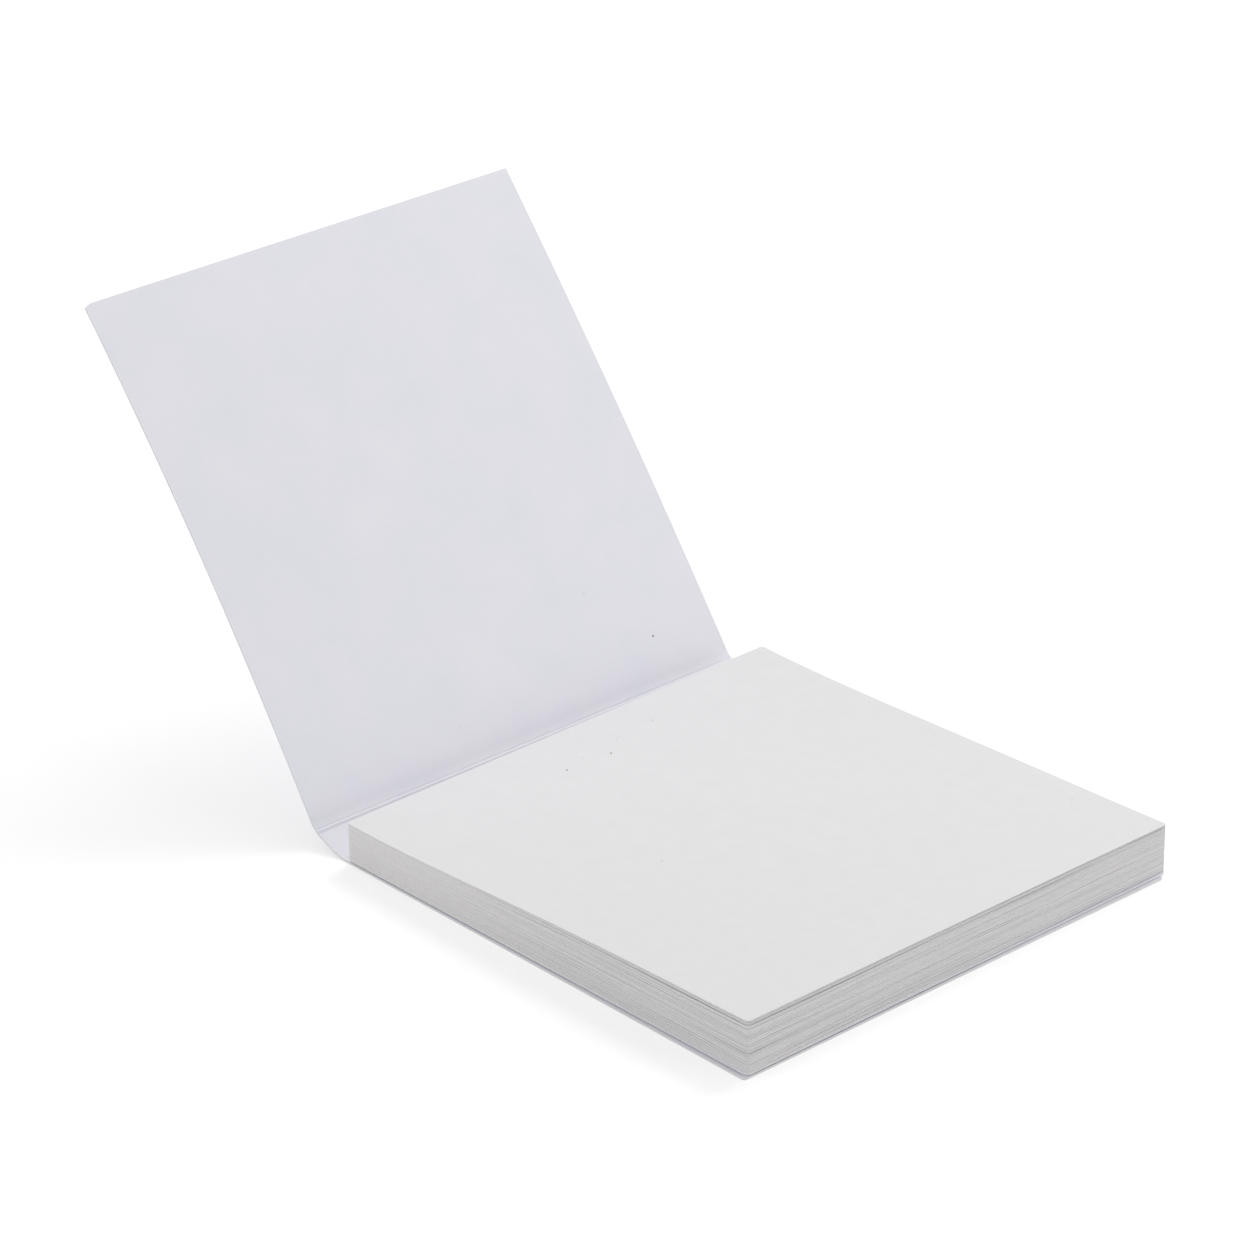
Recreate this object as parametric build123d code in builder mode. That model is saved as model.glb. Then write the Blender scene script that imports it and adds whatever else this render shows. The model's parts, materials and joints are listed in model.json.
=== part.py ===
from build123d import *
from math import cos, radians, sin
import os

os.makedirs("parts", exist_ok=True)

# Soft-cover sticky note pad, all sizes in mm.  +Z is up, +Y runs along the spine and
# +X runs from the spine to the free edge.  The pad lies on its back cover, z = 0.

# ---- note block -------------------------------------------------------------
note_side = 75.0          # square notes
stack_spine = 5.48        # fifty sheets, held flat along the adhesive side
fan_near = 1.93           # how much higher they fan at the free corner on the -Y side
fan_far = 1.23            # and at the free corner on the +Y side
block_turn = 0.59         # degrees the block sits askew on its cover
block_shift = 0.07        # and how far it sits off towards the free edge

# ---- backing sheet and glue -------------------------------------------------
backing_thick = 0.20
backing_turn = 0.35
backing_shift = 0.25
glue_thick = 0.18
glue_wide = 12.0          # across the pad, from the spine side inwards
glue_inset = 1.0          # from the spine side of the block
glue_end_inset = 2.5      # from each end of the block

# ---- cover card -------------------------------------------------------------
card_thick = 0.30
cover_trim = 0.5                    # the card is this much narrower than the notes
cover_shift = -0.50                 # and sits towards -Y
back_overhang = 0.45                # free edge of the back cover past the notes
crease_clear = 0.60                 # lower crease to the nominal spine side of the block
top_clear = 0.13                    # inside height of the spine over the block
flap_overhang = 0.35                # the front cover is this much longer than a note
spine_lean = 19.6                   # degrees the opened spine rises from the table
rise_near = 53.52                   # degrees the front cover rises, at its -Y edge
rise_far = 52.44                    # and at its +Y edge, for the card has a slight twist
bow_near = 1.45                     # how far it bows towards the pad, at its -Y edge
bow_far = 0.72                      # and at its +Y edge
crease_gap = 0.12                   # free play left around each crease
bead_radius = 0.25                  # raised line of the upper crease, inside
bead_offset = 0.10
corner_round = 0.5
bumped_corner = 0.9                 # the front cover's -Y corner, knocked blunt

# ---- derived ----------------------------------------------------------------
backing_z = card_thick + glue_thick
block_z = backing_z + backing_thick
half = note_side / 2
cover_wide = note_side - cover_trim
cover_y0 = cover_shift - cover_wide / 2
back_free = half + back_overhang
flap_long = note_side + flap_overhang
spine_wide = block_z + stack_spine + top_clear      # crease to crease
low_x = -half - crease_clear
low_z = card_thick / 2
up_x = low_x - spine_wide * cos(radians(spine_lean))
up_z = low_z + spine_wide * sin(radians(spine_lean))

# Upright planes at the cover's -Y edge.  Local x runs along the panel, away from the
# crease it hangs on, and local y points to the panel's inside face.
back_plane = Plane(origin=(0, cover_y0, 0), x_dir=(-1, 0, 0), z_dir=(0, 1, 0))
spine_plane = Plane(
    origin=(low_x, cover_y0, low_z),
    x_dir=(-cos(radians(spine_lean)), 0, sin(radians(spine_lean))),
    z_dir=(0, 1, 0),
)
near_flap_plane = Plane(
    origin=(up_x, cover_y0, up_z),
    x_dir=(-cos(radians(rise_near)), 0, sin(radians(rise_near))),
    z_dir=(0, 1, 0),
)
far_flap_plane = Plane(
    origin=(up_x, cover_y0 + cover_wide, up_z),
    x_dir=(-cos(radians(rise_far)), 0, sin(radians(rise_far))),
    z_dir=(0, 1, 0),
)

# ---- note block: all the sheets as one solid, higher on the free side --------
block_frame = Plane((block_shift, 0, block_z)).rotated((0, 0, block_turn))
near_end = Plane(
    origin=block_frame.from_local_coords((0, -half, 0)),
    x_dir=block_frame.x_dir,
    z_dir=-block_frame.y_dir,
)
far_end = near_end.offset(-note_side)

with BuildPart() as note_block:
    with BuildSketch(near_end):
        with BuildLine():
            Line((-half, 0), (half, 0))
            Line((half, 0), (half, stack_spine + fan_near))
            Spline(
                (half, stack_spine + fan_near),
                (0.6 * half, stack_spine + 0.87 * fan_near),
                (0, stack_spine + 0.57 * fan_near),
                (-0.6 * half, stack_spine + 0.08 * fan_near),
                (-half, stack_spine),
            )
            Line((-half, stack_spine), (-half, 0))
        make_face()
    with BuildSketch(far_end):
        with BuildLine():
            Line((-half, 0), (half, 0))
            Line((half, 0), (half, stack_spine + fan_far))
            Spline(
                (half, stack_spine + fan_far),
                (0.6 * half, stack_spine + 0.67 * fan_far),
                (0, stack_spine + 0.25 * fan_far),
                (-0.6 * half, stack_spine - 0.15 * fan_far),
                (-half, stack_spine),
            )
            Line((-half, stack_spine), (-half, 0))
        make_face()
    loft(ruled=True)
note_block.part.label = "note_block"
export_step(note_block.part, "parts/note_block.step")

# ---- backing sheet: a single coated sheet under the lowest note --------------
with BuildPart() as backing_sheet:
    with BuildSketch(Plane.XY.offset(backing_z)):
        with Locations((backing_shift, 0)):
            Rectangle(note_side, note_side, rotation=backing_turn)
    extrude(amount=backing_thick)
backing_sheet.part.label = "backing_sheet"
export_step(backing_sheet.part, "parts/backing_sheet.step")

# ---- glue strip: holds the backing sheet to the back cover -------------------
with BuildPart() as glue_strip:
    with BuildSketch(Plane.XY.offset(card_thick)):
        with Locations((-half + glue_inset + glue_wide / 2, 0)):
            Rectangle(glue_wide, note_side - 2 * glue_end_inset)
    extrude(amount=glue_thick)
glue_strip.part.label = "glue_strip"
export_step(glue_strip.part, "parts/glue_strip.step")

# ---- back cover: flat panel, cut back around the lower crease ----------------
with BuildPart() as back_cover:
    with BuildSketch(back_plane):
        with BuildLine():
            Polyline(
                (-back_free, 0),
                (-low_x, 0),
                (-low_x, card_thick),
                (-back_free, card_thick),
                close=True,
            )
        make_face()
        with Locations((-low_x, low_z)):
            Circle(card_thick / 2 + crease_gap, mode=Mode.SUBTRACT)
    extrude(amount=cover_wide)
    fillet(back_cover.edges().filter_by(Axis.Z).group_by(Axis.X)[-1], corner_round)
back_cover.part.label = "back_cover"
export_step(back_cover.part, "parts/back_cover.step")

# ---- spine: narrow panel with rounded creases and the raised inner bead ------
with BuildPart() as spine:
    with BuildSketch(spine_plane):
        with Locations((spine_wide / 2, 0)):
            SlotCenterToCenter(spine_wide, card_thick)
        with Locations((spine_wide, bead_offset)):
            Circle(bead_radius)
    extrude(amount=cover_wide)
spine.part.label = "spine"
export_step(spine.part, "parts/spine.step")

# ---- front cover: standing open, bowed towards the pad and twisted a little ---
with BuildPart() as front_cover:
    for end_plane, bow in ((near_flap_plane, bow_near), (far_flap_plane, bow_far)):
        with BuildSketch(end_plane):
            with BuildLine():
                Line((0, card_thick / 2), (0, -card_thick / 2))
                ThreePointArc(
                    (0, -card_thick / 2),
                    (flap_long / 2, bow - card_thick / 2),
                    (flap_long, -card_thick / 2),
                )
                Line((flap_long, -card_thick / 2), (flap_long, card_thick / 2))
                ThreePointArc(
                    (flap_long, card_thick / 2),
                    (flap_long / 2, bow + card_thick / 2),
                    (0, card_thick / 2),
                )
            make_face()
    loft(ruled=True)
    with BuildSketch(near_flap_plane):
        Circle(bead_radius + bead_offset + crease_gap)
    extrude(amount=cover_wide, mode=Mode.SUBTRACT)
    tips = front_cover.edges().filter_by(lambda e: abs(e.length - card_thick) < 1e-4)
    near_tip = tips.sort_by(Axis.Z)[-2:].sort_by(Axis.Y)[0]
    fillet(near_tip, bumped_corner)
front_cover.part.label = "front_cover"
export_step(front_cover.part, "parts/front_cover.step")
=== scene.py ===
import json
from math import cos, radians, sin

import bpy
import numpy as np
from mathutils import Matrix, Vector

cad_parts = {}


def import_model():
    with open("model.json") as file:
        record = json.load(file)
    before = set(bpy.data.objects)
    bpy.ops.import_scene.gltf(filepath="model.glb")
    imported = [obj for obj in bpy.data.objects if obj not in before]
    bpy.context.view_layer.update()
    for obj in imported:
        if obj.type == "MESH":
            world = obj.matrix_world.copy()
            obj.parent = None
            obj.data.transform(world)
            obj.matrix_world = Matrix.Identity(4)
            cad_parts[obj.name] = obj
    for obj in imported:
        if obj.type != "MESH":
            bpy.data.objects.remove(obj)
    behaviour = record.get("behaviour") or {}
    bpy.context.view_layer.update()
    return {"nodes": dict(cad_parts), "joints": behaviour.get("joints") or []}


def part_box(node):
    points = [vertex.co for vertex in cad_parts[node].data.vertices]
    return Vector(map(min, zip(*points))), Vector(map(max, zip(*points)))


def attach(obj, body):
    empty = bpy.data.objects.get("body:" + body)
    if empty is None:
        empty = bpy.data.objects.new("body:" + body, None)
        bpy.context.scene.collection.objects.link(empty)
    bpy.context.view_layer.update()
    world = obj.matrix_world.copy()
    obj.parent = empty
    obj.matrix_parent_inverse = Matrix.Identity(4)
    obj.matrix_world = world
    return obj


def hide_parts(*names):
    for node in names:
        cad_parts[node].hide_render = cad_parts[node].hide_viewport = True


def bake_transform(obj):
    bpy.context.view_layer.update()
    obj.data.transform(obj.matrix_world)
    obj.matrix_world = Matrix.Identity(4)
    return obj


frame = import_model()
MM = 0.001
rng = np.random.default_rng(11)


# ---- sizes, in mm, read from the frame --------------------------------------
def box_mm(node):
    """A node's lowest and highest corners."""
    lo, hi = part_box(node)
    return np.array(lo) / MM, np.array(hi) / MM


crease_at = {j["name"]: np.array(j["pos_m"])[[0, 2]] / MM for j in frame["joints"]}
LOW = crease_at["spine_crease"]
UP = crease_at["cover_crease"]
cover_lo, cover_hi = box_mm("back_cover")
block_floor = box_mm("note_block")[0][2]
card = cover_hi[2] - cover_lo[2]            # thickness of the cover card
spine_wide = float(np.hypot(*(UP - LOW)))
spine_dir = (UP - LOW) / spine_wide
back_long = cover_hi[0] - LOW[0]

# ---- sizes of the pad's own shape, in mm and degrees ------------------------
note_side = 75.0
half = note_side / 2
block_turn = 0.59
block_shift = 0.07
sheets = 50
stack_spine = 5.48
fan_near = 1.93
fan_far = 1.23
fan_places = (-1, -0.6, 0, 0.6, 1)          # across the notes, from spine to free edge
fan_shape_near = (0, 0.08, 0.57, 0.87, 1.0)
fan_shape_far = (0, -0.15, 0.25, 0.67, 1.0)
flap_long = 75.35
rise_near, rise_far = 53.52, 52.44
bow_near, bow_far = 1.45, 0.72
low_round = 0.6                             # how far each crease's bend reaches along the card
up_round = 1.2
spine_swell = 0.16                          # the spine's middle bulges outward by this
low_fine = 2.0                              # fine rows reach this far either side of the lower crease
up_fine = 1.5                               # and this far either side of the upper one
backing_turn = 0.35
backing_shift = 0.25
backing_drop = 0.09
bead_tall = 0.12
bead_wide = 0.62
bead_place = -0.55                          # from the upper crease's axis, towards the spine
groove_deep = 0.06                          # beside the bead, on each side
groove_place = 0.36                         # from the bead's middle
groove_wide = 0.08
score_deep = 0.05                           # dent on the outside of the upper crease
score_wide = 0.5
note_corner = 0.5                           # radius of the notes' corners
backing_corner = 0.75
cut_gap = 0.004                             # air kept between neighbouring sheets, above and below
slip_spread = 0.012                         # how unevenly the sheets are knocked up
turn_spread = 0.010
cut_corner = (0.5, 0.5, 2)                  # the cover's corners: width, depth and the power of the curve
bumped_corner = (1.05, 0.34, 1.15)
crisp_corner = (0.25, 0.25, 2)
no_corner = (0, 1, 2)


# ---- materials --------------------------------------------------------------
def linear(code):
    """An sRGB hex colour as linear RGBA."""
    c = np.array([int(code[i:i + 2], 16) for i in (1, 3, 5)]) / 255
    return (*np.where(c <= 0.04045, c / 12.92, ((c + 0.055) / 1.055) ** 2.4), 1.0)


def new_material(name):
    """An empty material, with its node tree."""
    m = bpy.data.materials.new(name)
    m.use_nodes = True
    tree = m.node_tree
    tree.nodes.clear()
    return m, tree


def add(tree, kind, settings=None, links=None):
    """Adds one node: settings are its own properties, and links maps each input to a value or another
    node's output."""
    node = tree.nodes.new(kind)
    for key, value in (settings or {}).items():
        setattr(node, key, value)
    for key, value in (links or {}).items():
        if isinstance(value, bpy.types.NodeSocket):
            tree.links.new(value, node.inputs[key])
        else:
            node.inputs[key].default_value = value
    return node


def noise(tree, lump, detail):
    """Noise in the piece's own space, with lumps about that many mm across."""
    where = add(tree, "ShaderNodeTexCoord").outputs["Object"]
    return add(tree, "ShaderNodeTexNoise", {},
               {"Vector": where, "Scale": 1 / (lump * MM), "Detail": detail}).outputs["Fac"]


def sheet_tone(tree):
    """Each sheet's own number from 0 to 1, kept on its points."""
    return add(tree, "ShaderNodeAttribute", {"attribute_name": "sheet_tone"}).outputs["Fac"]


def weighted(tree, value, weight, plus):
    """value * weight + plus."""
    node = add(tree, "ShaderNodeMath", {"operation": "MULTIPLY_ADD"}, {0: value, 1: weight, 2: plus})
    return node.outputs[0]


def stretched(tree, value, low, high):
    """Carries low to 0 and high to 1, and stays within them."""
    return add(tree, "ShaderNodeMapRange", {}, {"Value": value, "From Min": low, "From Max": high}).outputs[0]


def surface(tree, share, tones, rough, shine=0.5, relief=None):
    """The end of a material: a colour between two tones, a roughness, a specular level, and relief given as
    its height, its strength and its depth in mm."""
    dark, light = (linear(tone) for tone in tones)
    mix = add(tree, "ShaderNodeMix", {"data_type": "RGBA"}, {0: share, 6: dark, 7: light})
    inputs = {"Base Color": mix.outputs[2], "Roughness": rough, "Specular IOR Level": shine}
    if relief:
        height, strength, deep = relief
        bump = add(tree, "ShaderNodeBump", {},
                   {"Height": height, "Strength": strength, "Distance": deep * MM})
        inputs["Normal"] = bump.outputs[0]
    shader = add(tree, "ShaderNodeBsdfPrincipled", {}, inputs)
    add(tree, "ShaderNodeOutputMaterial", {}, {"Surface": shader.outputs[0]})


def note_paper():
    """Uncoated woodfree paper: dead matt, neutral white, with a faint cloudiness where its fibres lie
    unevenly."""
    m, t = new_material("uncoated_note_paper")
    cloud, fibre = noise(t, 2.5, 4.0), noise(t, 0.35, 3.0)
    both = weighted(t, fibre, 0.5, cloud)
    toned = weighted(t, sheet_tone(t), 0.25, both)
    surface(t, stretched(t, toned, 0.45, 1.25), ("#EDEDEE", "#F1F1F2"), 0.92, 0.25, (both, 0.25, 0.02))
    return m


def cut_note_edges():
    """The guillotined edges of the same paper: fuzzier and a little warmer and greyer than its faces, each
    sheet its own tone."""
    m, t = new_material("cut_note_paper_edges")
    fluff = noise(t, 0.4, 3.0)
    both = weighted(t, sheet_tone(t), 0.6, fluff)
    surface(t, stretched(t, both, 0.3, 1.3), ("#E8E6E6", "#F3F1F1"), 0.97, 0.15, (fluff, 0.3, 0.02))
    return m


def cut_card_edge():
    """The die-cut edge of the cover: bare white board between its two coatings, matt and fibrous."""
    m, t = new_material("cut_board_edge")
    fluff = noise(t, 0.25, 3.0)
    surface(t, fluff, ("#E9E9EA", "#F6F6F5"), 0.95, 0.2, (fluff, 0.3, 0.03))
    return m


def cover_card():
    """White board with a smooth clay coating: a faint lilac from its brightener, a soft sheen, and a very
    slight mottle."""
    m, t = new_material("coated_cover_card")
    cloud, grain = noise(t, 9, 3.0), noise(t, 0.5, 2.0)
    both = weighted(t, grain, 0.3, cloud)
    surface(t, stretched(t, both, 0.35, 0.95), ("#EBEBF4", "#F1F0F6"), 0.5, 0.35, (both, 0.15, 0.02))
    return m


def dried_glue():
    """Dried white padding glue: milky, slightly yellow and a little shiny."""
    m, t = new_material("dried_padding_glue")
    lumps = noise(t, 1.5, 3.0)
    surface(t, lumps, ("#DEDACB", "#EBE8DC"), 0.35, relief=(lumps, 0.5, 0.05))
    return m


def dust_grey():
    """Grey lint and grit: matt, almost black in its folds."""
    m, t = new_material("grey_dust")
    surface(t, noise(t, 0.1, 2.0), ("#3A3A40", "#6C6C74"), 0.9)
    return m


paper, cut_paper = note_paper(), cut_note_edges()
board, cut_board, glue = cover_card(), cut_card_edge(), dried_glue()
glue_strip = frame["nodes"]["glue_strip"].data.materials
glue_strip.clear()
glue_strip.append(glue)


# ---- meshes -----------------------------------------------------------------
def slabs(name, upper, lower, skin, cut):
    """Closed slabs between pairs of grids. Both arrays are [slab, row, column, xyz] in mm, rows x columns
    turning right-handed about the upper side. Each grid cell is a quad, the lower ones reversed, and one
    band of quads joins the two grids along their shared outline. The faces wear the skin material, and that
    band the cut one."""
    k, r, c, _ = upper.shape
    index = np.arange(k * 2 * r * c).reshape(k, 2, r, c)
    up, down = index[:, 0], index[:, 1]

    def cells(g):
        return np.stack((g[:, :-1, :-1], g[:, 1:, :-1], g[:, 1:, 1:], g[:, :-1, 1:]), -1).reshape(-1, 4)

    def rim(g):
        return np.concatenate((g[:, :, 0], g[:, -1, 1:], g[:, -2::-1, -1], g[:, 0, -2::-1]), 1)

    top_rim, low_rim = rim(up), rim(down)
    band = np.stack((low_rim[:, :-1], low_rim[:, 1:], top_rim[:, 1:], top_rim[:, :-1]), -1).reshape(-1, 4)
    faces = np.concatenate((cells(up), cells(down)[:, ::-1], band))
    points = np.stack((upper, lower), 1).reshape(-1, 3) * MM
    mesh = bpy.data.meshes.new(name)
    mesh.vertices.add(len(points))
    mesh.vertices.foreach_set("co", points.ravel())
    mesh.loops.add(faces.size)
    mesh.loops.foreach_set("vertex_index", faces.ravel().astype(np.int32))
    mesh.polygons.add(len(faces))
    mesh.polygons.foreach_set("loop_start", np.arange(0, faces.size, 4, dtype=np.int32))
    edge_band = np.arange(len(faces)) >= len(faces) - len(band)
    mesh.polygons.foreach_set("material_index", edge_band.astype(np.int32))
    mesh.update(calc_edges=True)
    mesh.validate()
    mesh.shade_smooth()
    mesh.set_sharp_from_angle(angle=radians(40))
    mesh.materials.append(skin)
    mesh.materials.append(cut)
    return in_scene(name, mesh)


def in_scene(name, data):
    """Puts new data in the scene under one name."""
    thing = bpy.data.objects.new(name, data)
    bpy.context.scene.collection.objects.link(thing)
    return thing


def per_point(piece, name, values):
    """Stores one number a point, for the piece's material."""
    store = piece.data.attributes.new(name, "FLOAT", "POINT")
    store.data.foreach_set("value", np.asarray(values, np.float32).ravel())


def ramp(d, reach):
    """Nothing below -reach, d above +reach, and the parabola (d + reach)^2 / 4 reach between, which meets
    both smoothly."""
    return np.where(d < -reach, 0, np.where(d > reach, d, (d + reach) ** 2 / (4 * reach)))


def ease(share):
    """A cosine ease from 0 to 1 as the share goes from 0 to 1."""
    return 0.5 * (1 - np.cos(np.pi * np.clip(share, 0, 1)))


def card_skin(name, path, across, inner_relief, outer_relief, first_corners, last_corners):
    """A strip of card: path(s, y) gives its middle line in x and z, and its two faces lie half a card off
    it along the line's normal, plus their own relief. s is a row's place along the path, and the columns
    run from one long edge of the cover to the other. Each corner, the near one first, is cut off by a
    superellipse of its own width, depth and power: 2 gives a quarter round and 1 a straight nick."""
    s, columns = path.rows, across
    y0, y1 = cover_lo[1], cover_hi[1]
    near_in = np.zeros_like(s)
    far_in = np.zeros_like(s)
    for corners, gap in ((first_corners, s - s[0]), (last_corners, s[-1] - s)):
        for (wide, deep, power), drawn in zip(corners, (near_in, far_in)):
            drawn += wide * (1 - (1 - np.clip(1 - gap / deep, 0, 1) ** power) ** (1 / power))
    low_y, high_y = (y0 + near_in)[:, None], (y1 - far_in)[:, None]
    y = low_y + (high_y - low_y) * columns[None, :]
    x, z = path.at(s[:, None], y)
    ds = np.gradient(s)[:, None]
    tx, tz = np.gradient(x, axis=0) / ds, np.gradient(z, axis=0) / ds
    size = np.hypot(tx, tz)
    nx, nz = tz / size, -tx / size
    grids = []
    for side in (card / 2 + inner_relief(s)[:, None], -card / 2 - outer_relief(s)[:, None]):
        grids.append(np.stack((x + nx * side, y, z + nz * side), -1)[None])
    # rows run towards -X there, so the columns are turned round to keep the faces outward
    piece = slabs(name, grids[0][:, :, ::-1], grids[1][:, :, ::-1], board, cut_board)
    return piece


class BackPath:
    """From the free edge of the back panel, round the lower crease, to the middle of the spine."""

    rows = np.unique(np.concatenate((
        (1 - np.cos(np.linspace(0, np.pi / 2, 8))) * cut_corner[1],
        np.linspace(cut_corner[1], back_long - low_fine, 40),
        np.linspace(back_long - low_fine, back_long + low_fine, 41),
        np.linspace(back_long + low_fine, back_long + spine_wide / 2, 4))).round(6))

    @staticmethod
    def at(s, y):
        """Straight before the crease and straight after it, the two joined by the ramp's parabola; the
        spine swells outward by a parabola that is nought at both creases."""
        d = s - back_long
        before, after = -ramp(-d, low_round), ramp(d, low_round)
        share = np.clip(d / spine_wide, 0, 1)
        swell = spine_swell * 4 * share * (1 - share)
        x = LOW[0] - before + spine_dir[0] * after - spine_dir[1] * swell
        z = LOW[1] + spine_dir[1] * after + spine_dir[0] * swell
        return x + 0 * y, z + 0 * y


class FrontPath:
    """From the middle of the spine, round the upper crease, to the front cover's far edge."""

    rows = np.unique(np.concatenate((
        np.linspace(-spine_wide / 2, -up_fine, 6),
        np.linspace(-up_fine, up_fine, 76),
        np.linspace(up_fine, flap_long - bumped_corner[1], 90),
        flap_long - (1 - np.cos(np.linspace(0, np.pi / 2, 10))) * bumped_corner[1])).round(6))

    @staticmethod
    def at(s, y):
        """The spine as before; past the crease a parabola over a straight chord. The chord's slope and the
        parabola's height change evenly from one long edge of the cover to the other."""
        share_y = (y - cover_lo[1]) / (cover_hi[1] - cover_lo[1])
        rise = np.radians(rise_near + (rise_far - rise_near) * share_y)
        bow = bow_near + (bow_far - bow_near) * share_y
        before, after = -ramp(-s, up_round), ramp(s, up_round)
        share = np.clip(1 + s / spine_wide, 0, 1)
        swell = spine_swell * 4 * share * (1 - share)
        part = np.clip(after / flap_long, 0, 1)
        lift = bow * 4 * part * (1 - part)
        x = UP[0] + spine_dir[0] * before - spine_dir[1] * swell - np.cos(rise) * after + np.sin(rise) * lift
        z = UP[1] + spine_dir[1] * before + spine_dir[0] * swell + np.sin(rise) * after + np.cos(rise) * lift
        return x, z


def flat(s):
    """No relief."""
    return np.zeros_like(s)


def bead(s):
    """Inside of the upper crease: one cosine hump, with a shallow groove on each side of it."""
    d = s - bead_place
    hump = bead_tall * 0.5 * (1 + np.cos(np.pi * np.clip(2 * d / bead_wide, -1, 1)))
    groove = np.exp(-(((np.abs(d) - groove_place) / groove_wide) ** 2))
    return hump - groove_deep * groove


def score(s):
    """Outside of the upper crease: a shallow dent with a soft cosine profile."""
    return -score_deep * 0.5 * (1 + np.cos(np.pi * np.clip(s / score_wide, -1, 1)))


across = np.linspace(0, 1, 61)
square_end = (no_corner, no_corner)
back_card = card_skin("back_card", BackPath, across, flat, flat, (cut_corner, cut_corner), square_end)
front_card = card_skin("front_card", FrontPath, across, bead, score, square_end,
                       (bumped_corner, crisp_corner))


# ---- notes ------------------------------------------------------------------
def note_fan(u, v):
    """How much higher the stack stands than it does when pressed flat: a quartic in u through the measured
    heights at each end, carried evenly from one end to the other in v. u and v run from -1 to 1 over the
    notes' square."""
    near = np.polyval(np.polyfit(fan_places, fan_shape_near, 4), u) * fan_near
    far = np.polyval(np.polyfit(fan_places, fan_shape_far, 4), u) * fan_far
    return near + (far - near) * (v + 1) / 2


def waves(count, u, v, longest, shortest):
    """Smooth unevenness, one field a sheet: the sum of four plane waves, each with its own direction and
    start. The longest and shortest are their wavelengths in mm."""
    heading = rng.uniform(0, 2 * np.pi, (4, count, 1, 1))
    pitch = 2 * np.pi * half / rng.uniform(shortest, longest, (4, count, 1, 1))
    start_at = rng.uniform(0, 2 * np.pi, (4, count, 1, 1))
    return np.cos(pitch * (np.cos(heading) * u + np.sin(heading) * v) + start_at).sum(0) / 2


def rounded(u, v, reach):
    """Rounds the corners of the square from -1 to 1: each corner's patch, reach wide, is carried on to a
    quarter disc by scaling its points' distance from the patch's inner corner."""
    cu, cv = np.maximum(np.abs(u) - (1 - reach), 0), np.maximum(np.abs(v) - (1 - reach), 0)
    disc = np.maximum(cu, cv) / np.maximum(np.hypot(cu, cv), 1e-9)
    in_corner = (cu > 0) & (cv > 0)
    return (np.where(in_corner, np.sign(u) * (1 - reach + cu * disc), u),
            np.where(in_corner, np.sign(v) * (1 - reach + cv * disc), v))


def note_stack():
    """Fifty thin slabs. What the stack's height has over the pressed stack is air. It is shared out between
    the sheets by weights that wander over the sheet, so that each gap opens and closes along the edges, and
    a few gaps open wide at one corner."""
    edge = np.array((1, 0.996, 0.991, 0.9867, 0.96))
    line = np.concatenate((-edge, np.linspace(-0.92, 0.92, 21), edge[::-1]))
    u, v = np.meshgrid(line, line, indexing="ij")
    fan = note_fan(u, v)
    air = np.maximum(fan, 0)
    thick = (stack_spine + np.minimum(fan, 0)) / sheets

    count = sheets - 1
    weight = rng.gamma(2.6, 0.42, count)[:, None, None] * np.exp(0.65 * waves(count, u, v, 60, 16))
    near_corner = np.hypot(1 - u, 1 + v) * half         # mm from the free corner on the -Y side
    far_corner = np.hypot(1 - u, 1 - v) * half          # and from the one on the +Y side
    # the sheet, from the bottom, over which a wide gap opens; its corner, its reach in mm and its weight
    for place, corner, wide, strength in ((49, far_corner, 58, 7.5), (46, near_corner, 42, 7),
                                          (45, far_corner, 38, 4), (43, near_corner, 26, 2.2),
                                          (20, near_corner, 8, 6.5), (34, near_corner, 30, 1.2),
                                          (9, near_corner, 18, 1.2)):
        weight[place - 1] += strength * np.exp(-((corner / wide) ** 2))
    weight /= weight.sum(0)
    gaps = np.concatenate((np.zeros((1, *u.shape)), np.cumsum(weight, 0)))
    level = np.arange(sheets)[:, None, None]
    under = block_floor + thick * level + air * gaps + cut_gap
    over = under + thick - 1.5 * cut_gap

    ru, rv = rounded(u, v, note_corner / half)
    slip = rng.normal(0, slip_spread, (sheets, 2))
    turn = np.radians(block_turn + rng.normal(0, turn_spread, sheets))[:, None, None]
    x = half * ru[None] + slip[:, 0, None, None]
    y = half * rv[None] + slip[:, 1, None, None]
    wx = block_shift + x * np.cos(turn) - y * np.sin(turn)
    wy = x * np.sin(turn) + y * np.cos(turn)
    upper, lower = (np.stack((wx, wy, z), -1) for z in (over, under))
    stack = slabs("note_sheets", upper, lower, paper, cut_paper)
    per_point(stack, "sheet_tone", np.repeat(rng.uniform(0, 1, sheets), 2 * u.size))
    return stack


notes = note_stack()


# ---- backing sheet ----------------------------------------------------------
def backing_card():
    """One slab. It lies at the glue's level over most of the pad, and towards the free corner on the +Y
    side the product of two cosine eases, one across and one along the pad, lets it down towards the cover.
    Its corners are rounded as the notes' are, a little more."""
    lo, hi = box_mm("backing_sheet")
    edge = np.array((1, 0.998, 0.995, 0.991, 0.987, 0.983, 0.98, 0.96))
    line = np.concatenate((-edge, np.linspace(-0.93, 0.93, 25), edge[::-1]))
    u, v = np.meshgrid(line, line, indexing="ij")
    ru, rv = rounded(u, v, backing_corner / half)
    turn = radians(backing_turn)
    x = backing_shift + half * (ru * cos(turn) - rv * sin(turn))
    y = half * (ru * sin(turn) + rv * cos(turn))
    drop = backing_drop * ease((u + 0.55) / 0.9) * ease((v + 0.3) / 0.9)
    under, over = (np.stack((x, y, level - drop), -1)[None] for level in (lo[2], hi[2] - cut_gap))
    sheet = slabs("backing_card", over, under, board, cut_board)
    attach(sheet, "pad")
    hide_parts("backing_sheet")
    return sheet


backing_card()


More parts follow.
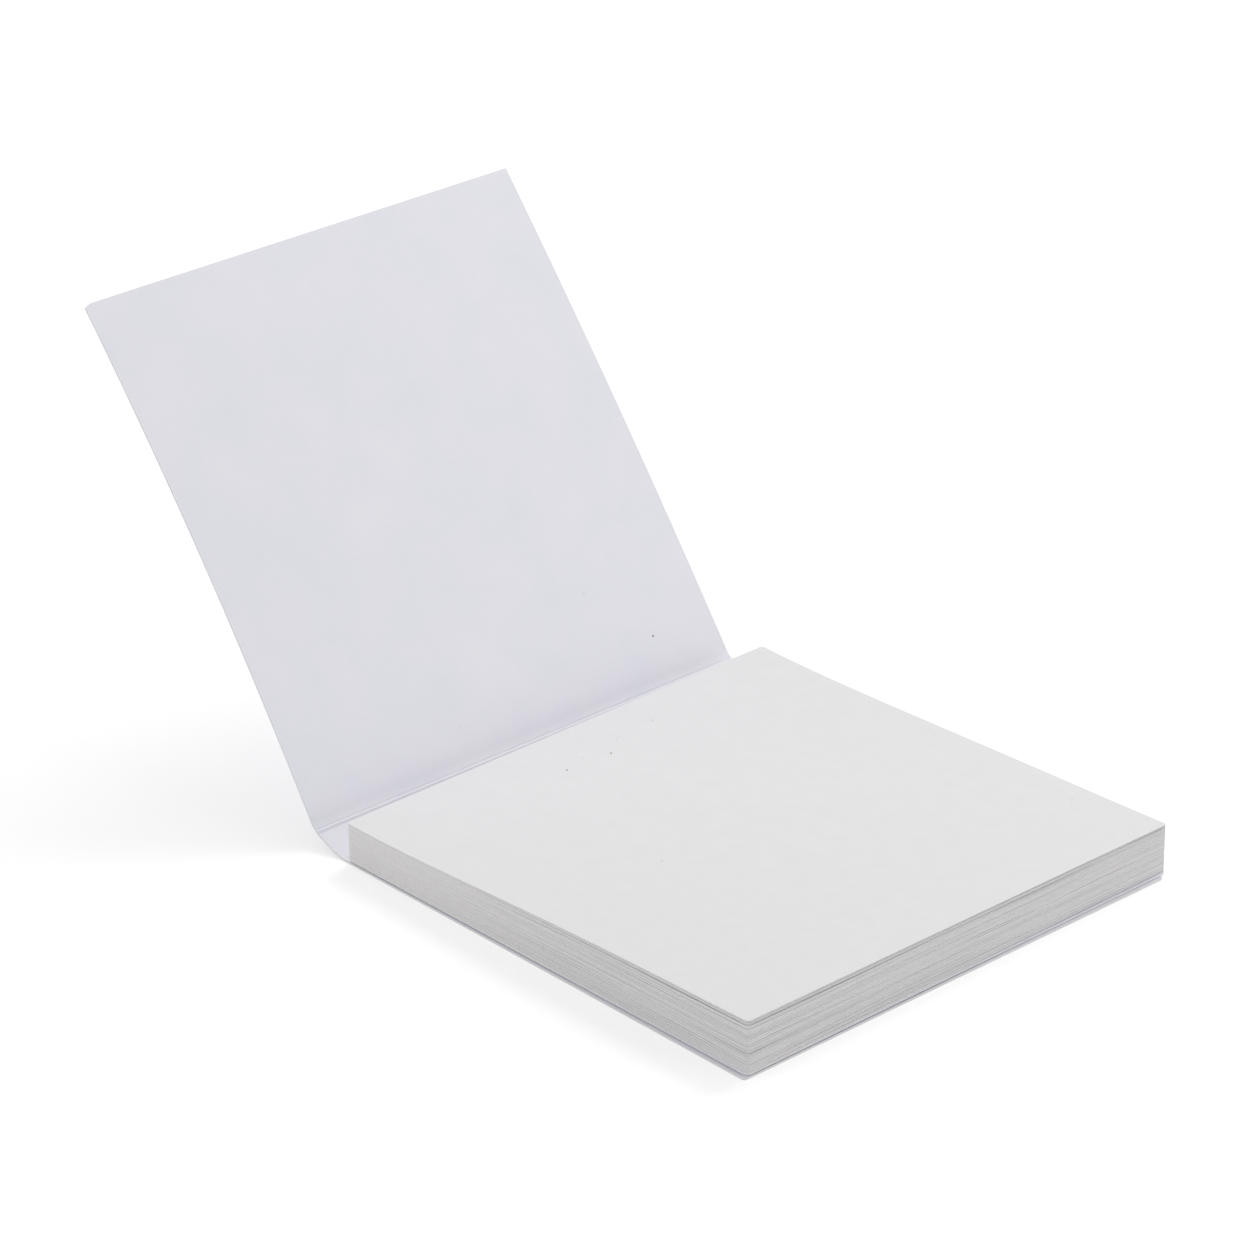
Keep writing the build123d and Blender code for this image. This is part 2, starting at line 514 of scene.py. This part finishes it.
# ---- dust -------------------------------------------------------------------
def grains(name, places, normals, sizes):
    """Flat grains: each is a sphere in longitude and latitude, squashed to a fifth along its surface's
    normal and pulled out of round by two slow waves in longitude."""
    round_it, up_it = np.linspace(0, 2 * np.pi, 13)[:-1], np.linspace(-np.pi / 2, np.pi / 2, 7)[1:-1]
    lon, lat = np.meshgrid(round_it, up_it, indexing="ij")
    verts, faces = [], []
    for k, (place, normal, size) in enumerate(zip(places, normals, sizes)):
        normal = np.array(normal) / np.linalg.norm(normal)
        side = np.cross(normal, (0, 1, 0) if abs(normal[1]) < 0.9 else (1, 0, 0))
        side /= np.linalg.norm(side)
        other = np.cross(normal, side)
        wide = size / 2 * (1 + 0.25 * np.cos(2 * lon + k) + 0.12 * np.cos(3 * lon + 2.1 * k))
        a, b, c = wide * np.cos(lat) * np.cos(lon), wide * np.cos(lat) * np.sin(lon), size / 10 * np.sin(lat)
        ring = place + a[..., None] * side + b[..., None] * other + (c + size / 12)[..., None] * normal
        base = sum(len(x) for x in verts)
        low = place + normal * (size / 12 - size / 10)
        high = place + normal * (size / 12 + size / 10)
        verts.append(np.concatenate((ring.reshape(-1, 3), low[None], high[None])))
        n, m = lon.shape
        g = base + np.arange(n * m).reshape(n, m)
        g2 = np.roll(g, -1, 0)
        quads = np.stack((g[:, :-1], g2[:, :-1], g2[:, 1:], g[:, 1:]), -1).reshape(-1, 4)
        faces += quads.tolist()
        faces += np.stack((g2[:, 0], g[:, 0], np.full(n, base + n * m)), -1).tolist()
        faces += np.stack((g[:, -1], g2[:, -1], np.full(n, base + n * m + 1)), -1).tolist()
    mesh = bpy.data.meshes.new(name)
    mesh.from_pydata((np.concatenate(verts) * MM).tolist(), [], faces)
    mesh.shade_smooth()
    mesh.materials.append(dust)
    return in_scene(name, mesh)


dust = dust_grey()
# across the notes, along them, and width, in mm
note_specks = np.array(((-28.62, -7.13, 0.24), (-28.3, 0.41, 0.26), (-31.62, 11.01, 0.17),
                        (-0.35, -16.05, 0.14), (23.87, 34.15, 0.15), (-30.5, 3.4, 0.10),
                        (-30.0, 2.4, 0.10), (-29.8, -3.2, 0.10)))
u, v = (note_specks[:, 0] - block_shift) / half, note_specks[:, 1] / half
tall = block_floor + stack_spine + note_fan(u, v)
note_dust = grains("dust_on_notes", np.stack((note_specks[:, 0], note_specks[:, 1], tall), -1),
                   np.tile((0, 0, 1.0), (len(u), 1)), note_specks[:, 2])
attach(note_dust, "pad")
# up the front cover from its crease, along it, and width, in mm
cover_specks = np.array(((6.75, 25.83, 0.26), (15.66, 17.73, 0.12), (5.19, -9.98, 0.09)))
x, z = FrontPath.at(cover_specks[:, 0], cover_specks[:, 1])
x1, z1 = FrontPath.at(cover_specks[:, 0] + 0.1, cover_specks[:, 1])
lean = np.stack((z1 - z, 0 * x, x - x1), -1)
lean /= np.linalg.norm(lean, axis=1)[:, None]
places = np.stack((x, cover_specks[:, 1], z), -1) + lean * card / 2
cover_dust = grains("dust_on_cover", places, lean, cover_specks[:, 2])
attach(cover_dust, "flap")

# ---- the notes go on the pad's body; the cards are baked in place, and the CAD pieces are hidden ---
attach(notes, "pad")
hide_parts("note_block")


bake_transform(back_card)
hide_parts("back_cover", "spine")
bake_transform(front_card)
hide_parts("front_cover", "spine")


# ---- floor, light and camera ------------------------------------------------
def seen_rays(tree):
    """1 for what the camera sees, straight or in a reflection or through glass, and 0 for what only lights
    the scene."""
    seen = add(tree, "ShaderNodeLightPath")
    rays = add(tree, "ShaderNodeMath", {"operation": "MAXIMUM"},
               {0: seen.outputs["Is Camera Ray"], 1: seen.outputs["Is Glossy Ray"]})
    return add(tree, "ShaderNodeMath", {"operation": "MAXIMUM"},
               {0: rays.outputs[0], 1: seen.outputs["Is Transmission Ray"]}).outputs[0]


def floor():
    """A wide pale floor: matt white, shown a shade brighter to the camera so that it meets the white
    background, and brighter still far out, where the lamps no longer reach it."""
    bpy.ops.mesh.primitive_plane_add(size=6, location=(0, 0, 0))
    plane = bpy.context.object
    plane.name = "floor"
    m, t = new_material("studio_floor")
    matt = add(t, "ShaderNodeBsdfDiffuse", {}, {"Color": linear("#E6E6E6")})
    where = add(t, "ShaderNodeTexCoord").outputs["Object"]
    away = add(t, "ShaderNodeVectorMath", {"operation": "LENGTH"}, {0: where})
    share = add(t, "ShaderNodeMapRange", {},
                {"Value": away.outputs["Value"],
                 "From Min": 0.3, "From Max": 1.2, "To Min": 0.42, "To Max": 0.65})
    lift = add(t, "ShaderNodeMath", {"operation": "MULTIPLY"}, {0: seen_rays(t), 1: share.outputs[0]})
    glow = add(t, "ShaderNodeEmission", {}, {"Strength": lift.outputs[0]})
    total = add(t, "ShaderNodeAddShader", {}, {0: matt.outputs[0], 1: glow.outputs[0]})
    add(t, "ShaderNodeOutputMaterial", {}, {"Surface": total.outputs[0]})
    plane.data.materials.append(m)


def world(strength):
    """An even dome of light, white where the camera sees it."""
    w = bpy.data.worlds.new("studio")
    w.use_nodes = True
    t = w.node_tree
    t.nodes.clear()
    power = add(t, "ShaderNodeMapRange", {}, {"Value": seen_rays(t), "To Min": strength, "To Max": 1.0})
    back = add(t, "ShaderNodeBackground", {}, {"Color": (1, 1, 1, 1), "Strength": power.outputs[0]})
    add(t, "ShaderNodeOutputWorld", {}, {"Surface": back.outputs[0]})
    bpy.context.scene.world = w


def lamp(name, place, power):
    """A square white soft box that faces the pad."""
    data = bpy.data.lights.new(name, "AREA")
    data.size, data.energy = lamp_side, power
    holder = in_scene(name, data)
    holder.location = place
    holder.rotation_euler = (-Vector(place)).to_track_quat("-Z", "Y").to_euler()


def camera():
    """Stands at the given bearing and height, rolled slightly, with the pad set off from its optical
    axis."""
    bearing, height, roll = radians(47.995), radians(26.08), radians(-0.446)
    off_right, off_up, distance = 16.889, -31.69, 706.806
    back = np.array((sin(bearing) * cos(height), -cos(bearing) * cos(height), sin(height)))
    level = np.array((cos(bearing), sin(bearing), 0))
    up = np.cross(back, level)
    right, top = cos(roll) * level + sin(roll) * up, -sin(roll) * level + cos(roll) * up
    data = bpy.data.cameras.new("camera")
    data.sensor_width, data.lens = 36.0, 156.76
    data.clip_start, data.clip_end = 0.01, 20
    holder = in_scene("camera", data)
    place = (back * distance - right * off_right - top * off_up) * MM
    turn = np.eye(4)
    turn[:3, 0], turn[:3, 1], turn[:3, 2], turn[:3, 3] = right, top, back, place
    holder.matrix_world = Matrix(turn.tolist())
    bpy.context.scene.camera = holder


floor()
world(0.50)
lamp_side = 0.5                             # metres, and watts for the powers
lamp("front_lamp", (0.15, -0.75, 0.35), 0.6)
lamp("left_lamp", (-0.5, -0.7, 0.4), 1.0)
lamp("back_lamp", (-0.1, 0.55, 0.55), 2.4)
lamp("side_lamp", (0.75, 0.35, 0.3), 1.25)
camera()
bpy.context.scene.view_settings.view_transform = "Standard"
